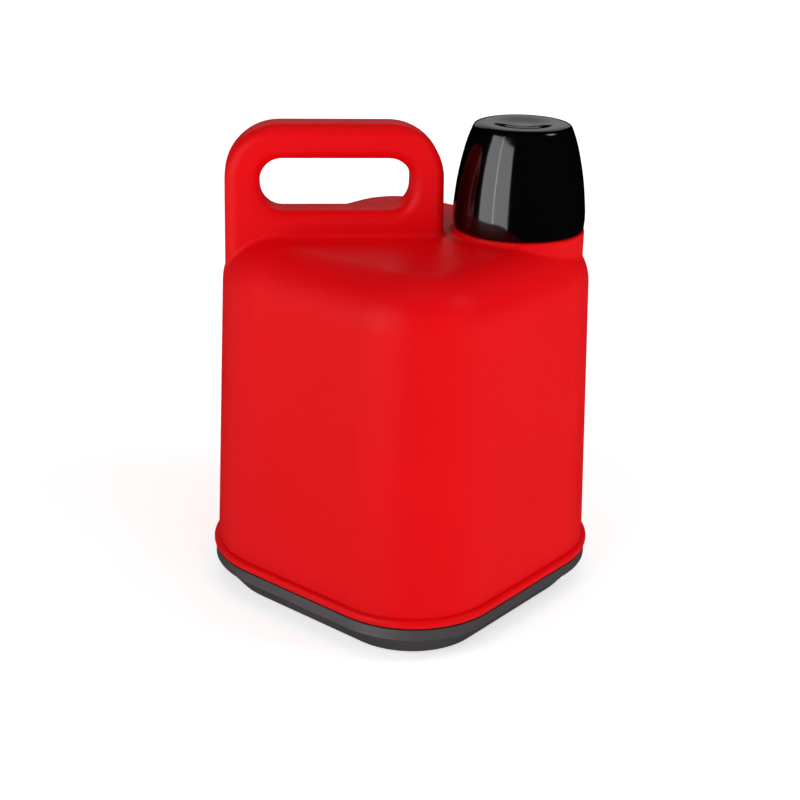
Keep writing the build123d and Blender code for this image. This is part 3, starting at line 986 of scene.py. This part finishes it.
@dataclass
class UndersideRibs(Assembly):
    """Stiffening ribs in the hollow under the base: straight spokes between two round ribs."""

    spokes: int = 12
    height: float = 0.0017
    thickness: float = 0.0022
    inner: float = 0.020
    outer: float = 0.066
    above_plug_foot: float = 0.0020
    edge: float = 0.0006
    edge_steps: int = 2
    round_segments: int = 96
    crest_steps: int = 8

    def spoke(self, top: float) -> bpy.types.Object:
        """Makes one straight rib along X with rounded edges.

        Args:
            top: Height of the surface that it hangs from.

        Returns:
            The rib.
        """
        deselect()
        centre = ((self.inner + self.outer) / 2, 0.0, top - self.height / 2)
        bpy.ops.mesh.primitive_cube_add(size=1.0, location=centre)
        rib = bpy.context.active_object
        rib.name = "base_rib"
        rib.scale = (self.outer - self.inner, self.thickness, self.height)
        bpy.ops.object.transform_apply(location=True, rotation=False, scale=True)
        bevel = rib.modifiers.new("round", "BEVEL")
        bevel.width = self.edge
        bevel.segments = self.edge_steps
        apply_modifiers(rib)
        return settle(rib)

    def round_rib(self, radius: float, top: float) -> bpy.types.Object:
        """Makes one round rib about the jug's axis with a rounded crest.

        Args:
            radius: Radius of its middle line.
            top: Height of the surface that it hangs from.

        Returns:
            The rib.
        """
        half = self.thickness / 2
        crest = arc((radius, top - self.height + half), half, 180.0, 360.0, self.crest_steps)
        profile = [*crest, (radius + half, top), (radius - half, top)]
        return Lathe(0.0, 0.0, segments=self.round_segments).turn("base_round_rib", profile, closed=True)

    def build(self) -> None:
        """Models the spokes and the two round ribs."""
        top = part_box("foam_fill_plug")[0].z + self.above_plug_foot
        first = self.spoke(top)
        ribs = [first]
        for index in range(1, self.spokes):
            copy = first.copy()
            copy.data = first.data.copy()
            copy.data.transform(Matrix.Rotation(2 * math.pi * index / self.spokes, 4, "Z"))
            bpy.context.scene.collection.objects.link(copy)
            ribs.append(copy)
        ribs += [self.round_rib(radius, top) for radius in (self.inner, self.outer)]
        self.place(join(*ribs), Body.JUG, Slot.BASE)


@dataclass
class FrameNodes:
    """Frame nodes whose shape stays, dressed with better finishes."""

    slots: dict[str, Slot] = field(default_factory=dict)

    def read_slots(self) -> None:
        """Reads each node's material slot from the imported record."""
        for entry in frame["record"]["subparts"]:
            self.slots[entry["node"]] = Slot(entry["material_slot"])

    def dress(self, finishes: FinishSet) -> None:
        """Dresses every frame node.

        Args:
            finishes: The jug's finishes.
        """
        self.read_slots()
        for name, node in frame["nodes"].items():
            finishes.dress(node, self.slots[name])
            LOG.info("dressed %s", name)


# ---------------------------------------------------------------- studio
@dataclass
class Camera:
    """Camera with the long lens and slight tilt of a product shot.

    Angles are in degrees and the lens in millimetres.
    """

    distance: float = 1.0121
    look_height: float = 0.1248
    pitch: float = 21.467
    turn: float = -5.598
    roll: float = 1.269
    lens: float = 67.57
    shift: float = -0.005
    sight: float = 50.0

    def build(self) -> None:
        """Places the camera and makes it the scene's."""
        turn, pitch, roll = (math.radians(angle) for angle in (self.turn, self.pitch, self.roll))
        across = math.cos(pitch)
        back = Vector((math.sin(turn) * across, -math.cos(turn) * across, math.sin(pitch)))
        level = Vector((math.cos(turn), math.sin(turn), 0.0))
        rise = back.cross(level)
        right = math.cos(roll) * level + math.sin(roll) * rise
        up = -math.sin(roll) * level + math.cos(roll) * rise
        data = bpy.data.cameras.new("camera")
        data.lens = self.lens
        data.shift_x = self.shift
        data.clip_end = self.sight
        camera = bpy.data.objects.new("camera", data)
        place = Vector((0.0, 0.0, self.look_height)) + back * self.distance
        turned = Matrix((right, up, back)).transposed().to_4x4()
        camera.matrix_world = Matrix.Translation(place) @ turned
        bpy.context.scene.collection.objects.link(camera)
        bpy.context.scene.camera = camera


@dataclass(frozen=True)
class SoftBox:
    """One rectangular studio light that faces a point on the jug.

    A mirrored light shows in glossy surfaces, and a light that bathes falls on matt ones.
    """

    name: str
    place: tuple[float, float, float]
    size: tuple[float, float]
    power: float
    aim: tuple[float, float, float] = (0.0, 0.0, 0.17)
    mirrored: bool = True
    bathes: bool = True

    def build(self) -> None:
        """Places the light."""
        data = bpy.data.lights.new(self.name, "AREA")
        data.shape = "RECTANGLE"
        data.size, data.size_y = self.size
        data.energy = self.power
        light = bpy.data.objects.new(self.name, data)
        light.location = self.place
        direction = Vector(self.aim) - Vector(self.place)
        light.rotation_euler = direction.to_track_quat("-Z", "Y").to_euler()
        light.visible_glossy = self.mirrored
        light.visible_diffuse = self.bathes
        bpy.context.scene.collection.objects.link(light)


@dataclass
class Studio:
    """Pale floor, soft light and even surroundings."""

    floor_size: float = 14.0
    floor_colour: tuple[float, float, float] = (0.93, 0.93, 0.93)
    floor_specular: float = 0.1
    floor_rough: tuple[float, float] = (0.86, 0.92)
    fibre_scale: float = 160.0
    floor_glow: tuple[float, float] = (0.52, 1.0)
    glow_from: float = 0.35
    glow_to: float = 2.2
    surround: float = 0.24
    boxes: Sequence[SoftBox] = (
        SoftBox("large box at the left", (-1.15, -0.88, 0.25), (1.5, 1.7), 33.0, bathes=False),
        SoftBox("tube in the large box", (-1.07, -0.84, 0.25), (0.028, 1.7), 1.3, bathes=False),
        SoftBox("backdrop", (0.0, 2.4, 1.35), (2.4, 1.4), 5.0, aim=(0.0, 0.0, 0.3)),
        SoftBox("left fill", (-1.3, -1.0, 1.0), (1.4, 1.2), 10.0, mirrored=False),
        SoftBox("front fill", (0.6, -1.9, 1.0), (1.6, 1.2), 6.0, mirrored=False),
        SoftBox("right fill", (1.4, -0.9, 0.45), (1.2, 1.2), 7.0, mirrored=False),
        SoftBox("top fill", (0.0, -0.3, 2.2), (1.6, 1.6), 5.0, mirrored=False),
        SoftBox("high box at the right", (1.15, -0.35, 1.3), (0.45, 0.45), 3.4),
    )

    def build_floor(self) -> None:
        """Makes the floor, which glows more with distance, and hides it from glossy surfaces."""
        bpy.ops.mesh.primitive_plane_add(size=self.floor_size, location=(0.0, 0.0, 0.0))
        floor = bpy.context.active_object
        floor.name = "floor"
        material = bpy.data.materials.new("white paper")
        material.use_nodes = True
        tree = material.node_tree
        surface = tree.nodes["Principled BSDF"]
        place = place_on_piece(tree)
        fibre = noise_node(tree, place, self.fibre_scale, detail=3.0)
        tree.links.new(remap(tree, fibre, *NOISE_MIDDLE, *self.floor_rough), surface.inputs["Roughness"])
        surface.inputs["Base Color"].default_value = (*self.floor_colour, 1.0)
        surface.inputs["Specular IOR Level"].default_value = self.floor_specular
        surface.inputs["Emission Color"].default_value = WHITE
        away = tree.nodes.new("ShaderNodeVectorMath")
        away.operation = "LENGTH"
        tree.links.new(place, away.inputs[0])
        glow = remap(tree, away.outputs["Value"], self.glow_from, self.glow_to, *self.floor_glow)
        tree.links.new(glow, surface.inputs["Emission Strength"])
        floor.data.materials.append(material)
        floor.visible_glossy = False

    def build_world(self) -> None:
        """Sets surroundings that look white, light the jug softly and show in no glossy surface."""
        world = bpy.data.worlds.new("studio")
        world.use_nodes = True
        bpy.context.scene.world = world
        tree = world.node_tree
        glow = tree.nodes["Background"]
        glow.inputs["Color"].default_value = WHITE
        seen = tree.nodes.new("ShaderNodeLightPath").outputs["Is Camera Ray"]
        tree.links.new(remap(tree, seen, 0.0, 1.0, self.surround, 1.0), glow.inputs["Strength"])
        world.cycles_visibility.glossy = False

    def build(self) -> None:
        """Makes the whole studio."""
        self.build_floor()
        self.build_world()
        for box in self.boxes:
            box.build()
        view = bpy.context.scene.view_settings
        view.view_transform = "Standard"
        view.look = "None"


def main() -> None:
    """Builds the finishes, the pieces and the studio."""
    logging.basicConfig(level=logging.INFO, format="%(name)s: %(message)s")
    deselect()
    finishes = FinishSet()
    finishes.build()
    FrameNodes().dress(finishes)
    for assembly in (DrinkingCup, NeckRing, StopperThread, ButtonSpring, UndersideRibs):
        assembly(finishes).build()
    Camera().build()
    Studio().build()


if __name__ == "__main__":
    main()
